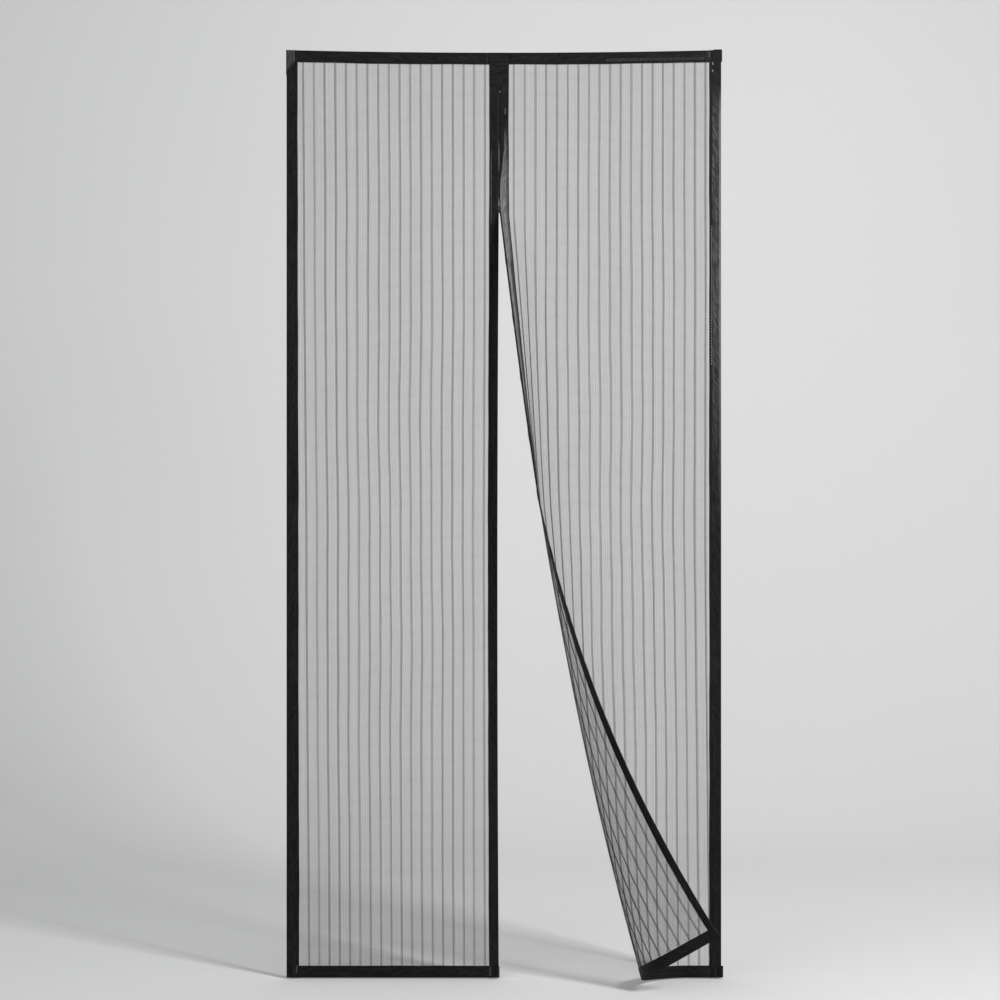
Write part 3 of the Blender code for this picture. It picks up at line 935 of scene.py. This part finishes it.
layouts = {leaf: leaf_layout(leaf) for leaf in ("left", "right")}
sewing = thread_finish("sewing_thread", SEWING_DARK, SEWING_LIGHT)
mending = thread_finish("mending_thread", MENDING_DARK, MENDING_LIGHT)
# A pale thread whose colour is a painted glint.
pale_tone = thread_finish("painted_glint_thread", GLINT_DARK, GLINT_LIGHT)
sewer = stitch_maker()
down_count = int((HEIGHT - STITCH_ENDS) / STITCH_PITCH)
for leaf in ("left", "right"):
    wide = LEAF_WIDTH[leaf]
    across_count = int((wide - EDGE_TAPE - MAGNET_TAPE_END) / STITCH_PITCH)
    rows = []
    for face in (TAPE_HALF, -TAPE_HALF):
        for u in (MAGNET_TAPE_END - SEAM, wide - EDGE_TAPE + SEAM):
            rows.append(stitch_row(
                leaf, sewing, start=(u, -STITCH_START, face), step=(0, -STITCH_PITCH, 0),
                count=down_count, size=(STITCH_THICK, STITCH_LENGTH, STITCH_THICK),
            ))
        for t in (EDGE_TAPE - SEAM, HEIGHT - EDGE_TAPE + SEAM):
            rows.append(stitch_row(
                leaf, sewing, start=(MAGNET_TAPE_END + 0.002, -t, face), step=(STITCH_PITCH, 0, 0),
                count=across_count, size=(STITCH_LENGTH, STITCH_THICK, STITCH_THICK),
            ))
    add_rows(f"{leaf}_stitching", sewing, rows)


def bar_tack():
    """Short stitches laid over both slit ribbons at the slit's top."""
    stitches = bmesh.new()
    long, deep, high = BAR_RADII
    for i in range(BAR_STITCHES):
        verts = bmesh.ops.create_icosphere(stitches, subdivisions=2, radius=1)["verts"]
        shift = 0.0004 * math.sin(5.0 * i)
        for vertex in verts:
            x, y, z = vertex.co
            vertex.co = (
                SLIT_X + 0.0008 + shift + x * (long + shift),
                NET_Y - 0.0026 + y * deep,
                TOP_Z - HEAD_SAG - BAR_TOP - i * BAR_PITCH + z * high + 0.0005 * x,
            )
    mesh = bpy.data.meshes.new("bar_tack")
    stitches.to_mesh(mesh)
    stitches.free()
    mesh.materials.append(sewing)
    add_piece("slit_bar_tack", mesh)


bar_tack()
left_wide = LEAF_WIDTH["left"]
right_wide = LEAF_WIDTH["right"]
dotted = stitch_row("right", sewing, start=(MAGNET_TAPE - 0.0008, -0.30, 0.0016),
                    step=(0, -0.0072, 0), count=24, size=(0.0014, 0.0042, 0.0008),
                    turn=0.3, sway=0.4)
whipped = stitch_row("right", mending, start=(0.245, -0.0182, 0.0019), step=(0.0054, 0, 0),
                     count=41, size=(0.0011, 0.0098, 0.0010), turn=0.15, sway=0.25)
add_rows("right_mending", sewing, [dotted])
add_rows("right_head_mending", mending, [whipped])
# Painted glints: pale stitches placed where specks of light fall on the ribbons and their seams.
glint_rows = {
    "right": [
        dict(start=(right_wide - 0.0193, -0.0305, 0.0014), step=(0, -0.0165, 0), count=2,
             size=(0.0016, 0.0080, 0.0007), turn=0.05, sway=0.1),
        dict(start=(right_wide - EDGE_TAPE + SEAM, -0.40, 0.0015), step=(0, -0.0066, 0), count=48,
             size=(0.0015, 0.0040, 0.0008), turn=0.0, sway=0.3),
        dict(start=(right_wide - 0.0266, -0.0055, 0.0015), step=(0, -0.0046, 0), count=3,
             size=(0.001, 0.0032, 0.0007), turn=0.5, sway=0.7),
        dict(start=(0.0222, -0.017, 0.0024), step=(0, -0.005, 0), count=3,
             size=(0.001, 0.0034, 0.0007), turn=0.1),
        dict(start=(0.0026, -0.0885, 0.0022), step=(0, -0.0012, 0), count=2,
             size=(0.0022, 0.0014, 0.001), turn=0.1),
        dict(start=(0.0145, -0.128, 0.0016), step=(-0.0004, -0.005, 0), count=3,
             size=(0.0011, 0.0035, 0.0008), turn=0.2, sway=0.4),
        dict(start=(0.0135, -0.208, 0.0016), step=(0.0006, -0.0042, 0), count=3,
             size=(0.0012, 0.003, 0.0008), turn=0.3, sway=0.6),
    ],
    "left": [
        dict(start=(0.0174, -0.225, 0.0015), step=(0, -0.005, 0), count=33,
             size=(0.0006, 0.0044, 0.0005)),
        dict(start=(MAGNET_TAPE - 0.0008, -(HEIGHT - 0.022), 0.0032), step=(0, -0.0048, 0),
             count=4, size=(0.0009, 0.0030, 0.0007), turn=0.0, sway=0.2),
        dict(start=(MAGNET_TAPE - 0.0036, -(HEIGHT - 0.0225), 0.0032), step=(0, -0.0052, 0),
             count=4, size=(0.0007, 0.0026, 0.0006), turn=0.1, sway=0.3),
        dict(start=(0.0016, -(HEIGHT - 0.0215), 0.0032), step=(0, -0.0056, 0),
             count=4, size=(0.0007, 0.0024, 0.0006), turn=0.0, sway=0.5),
        dict(start=(left_wide - 0.024, -(HEIGHT - 0.026), 0.002), step=(0.0004, -0.0036, 0),
             count=5, size=(0.0009, 0.003, 0.0006), turn=0.5, sway=0.7),
    ],
}
for leaf, rows in glint_rows.items():
    add_rows(f"{leaf}_painted_glint_stitches", pale_tone, [stitch_row(leaf, pale_tone, **row) for row in rows])


# The strips on the back. Loop strips are sewn to the ribbons, and hook strips, stuck to the door,
# hold them. From behind, the smooth glued face of the hook strips shows.
def strip_finish(name, dark, light, rough, scale, strength):
    material, wire = new_finish(name)
    where = wire.add("ShaderNodeTexCoord", output="Object")
    pile = where.noise(scale=scale, detail=3)
    broad = where.noise(scale=25, detail=2)
    bump = wire.add("ShaderNodeBump", {"Height": pile, "Strength": strength, "Distance": 0.0006})
    finish_with(wire, {
        "Base Color": (0.6 * pile + 0.4 * broad).mix(dark, light),
        "Roughness": rough + 0.15 * pile,
        "Normal": bump,
    })
    return material


loop_pile = strip_finish("loop_pile", dark=(0.01, 0.01, 0.011), light=(0.035, 0.035, 0.036),
                         rough=0.8, scale=900, strength=0.9)
hook_tape = strip_finish("hook_tape", dark=(0.012, 0.012, 0.012), light=(0.028, 0.028, 0.029),
                         rough=0.45, scale=500, strength=0.35)
for name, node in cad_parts.items():
    if "loop_strip" in name or "hook_strip" in name:
        node.data.materials.clear()
        node.data.materials.append(loop_pile if "loop_strip" in name else hook_tape)


# The stage: a plain pale floor that sweeps up into a wall, soft light from the front and the right,
# and the camera straight in front, as far off as shows the screen at the photograph's size.
PIXEL = 0.002264
FRAME_PIXELS = 1000
SLIT_PIXEL_X = 499.0
HEM_PIXEL_Y = 977.6
CAMERA_FAR = 5.0
SENSOR = 0.036
FLOOR_GAP = 0.003
WALL_FAR = 3.2
WALL_HIGH = 6.0
SWEEP = 1.6
SWEEP_STEPS = 12
STAGE_HALF = 7.0
PAINT_DARK = (0.70, 0.70, 0.695)
PAINT_LIGHT = (0.74, 0.74, 0.735)
AIR_COLOUR = (0.96, 0.975, 1.0, 1)
AIR_LIGHT = 0.405
AIR_SEEN = 0.25


def stage_finish():
    """Matt pale paint, clear from behind, so that the screen also shows from the back."""
    material, wire = new_finish("stage_paint")
    where = wire.add("ShaderNodeTexCoord", output="Object")
    tone = where.noise(scale=0.6, detail=1)
    paint = wire.add("ShaderNodeBsdfPrincipled", {
        "Base Color": tone.mix(PAINT_DARK, PAINT_LIGHT),
        "Roughness": 0.95,
        "Specular IOR Level": 0.1,
    }, output="BSDF")
    clear = wire.add("ShaderNodeBsdfTransparent", output="BSDF")
    from_behind = wire.add("ShaderNodeNewGeometry", output="Backfacing")
    seen = wire.add("ShaderNodeMixShader", {0: from_behind, 1: paint, 2: clear}, output="Shader")
    wire.add("ShaderNodeOutputMaterial", {"Surface": seen})
    return material


floor_z = HEM_Z - FLOOR_GAP
profile = [(-STAGE_HALF, floor_z), (WALL_FAR - SWEEP, floor_z)]
for i in range(1, SWEEP_STEPS + 1):
    angle = math.pi / 2 * i / SWEEP_STEPS
    profile.append((WALL_FAR - SWEEP + SWEEP * math.sin(angle),
                    floor_z + SWEEP * (1 - math.cos(angle))))
profile.append((WALL_FAR, floor_z + WALL_HIGH))
stage_points = np.array([[[x, y, z] for x in (-STAGE_HALF, STAGE_HALF)] for y, z in profile])
stage_mesh = grid_mesh("stage_sweep", stage_points)
stage_mesh.flip_normals()
stage_mesh.shade_smooth()
stage_mesh.materials.append(stage_finish())
sweep = bpy.data.objects.new("stage_sweep", stage_mesh)
bpy.context.scene.collection.objects.link(sweep)


def soft_light(name, where, aim, size, power):
    data = bpy.data.lights.new(name, "AREA")
    data.shape = "SQUARE"
    data.size = size
    data.energy = power
    lamp = bpy.data.objects.new(name, data)
    lamp.location = where
    lamp.rotation_euler = (Vector(aim) - Vector(where)).to_track_quat("-Z", "Y").to_euler()
    bpy.context.scene.collection.objects.link(lamp)


middle = (0, 0, (TOP_Z + HEM_Z) / 2)
soft_light("key_light", where=(2.9, -3.0, 0.7), aim=middle, size=0.7, power=195)
soft_light("fill_light", where=(-2.6, -4.2, 0.8), aim=middle, size=3.0, power=52)
soft_light("wall_light", where=(0.3, 1.0, 0.3), aim=(0.3, 3.1, -0.5), size=1.8, power=8)
world = bpy.data.worlds.new("studio")
world.use_nodes = True
world.node_tree.nodes.clear()
air = Wire(world.node_tree)
seen_plainly = air.add("ShaderNodeLightPath", output="Is Camera Ray")
sky = air.add("ShaderNodeBackground", {
    "Color": AIR_COLOUR, "Strength": AIR_LIGHT + AIR_SEEN * seen_plainly,
})
air.add("ShaderNodeOutputWorld", {"Surface": sky})
bpy.context.scene.world = world

camera_data = bpy.data.cameras.new("camera")
camera_data.sensor_width = SENSOR * 1000
camera_data.lens = SENSOR * 1000 * CAMERA_FAR / (PIXEL * FRAME_PIXELS)
camera = bpy.data.objects.new("camera", camera_data)
camera_x = SLIT_X + (FRAME_PIXELS / 2 - SLIT_PIXEL_X) * PIXEL
camera_z = HEM_Z + (HEM_PIXEL_Y - FRAME_PIXELS / 2) * PIXEL
camera.location = (camera_x, NET_Y - CAMERA_FAR, camera_z)
camera.rotation_euler = (math.pi / 2, 0, 0)
bpy.context.scene.collection.objects.link(camera)
bpy.context.scene.camera = camera
bpy.context.scene.view_settings.view_transform = "Standard"
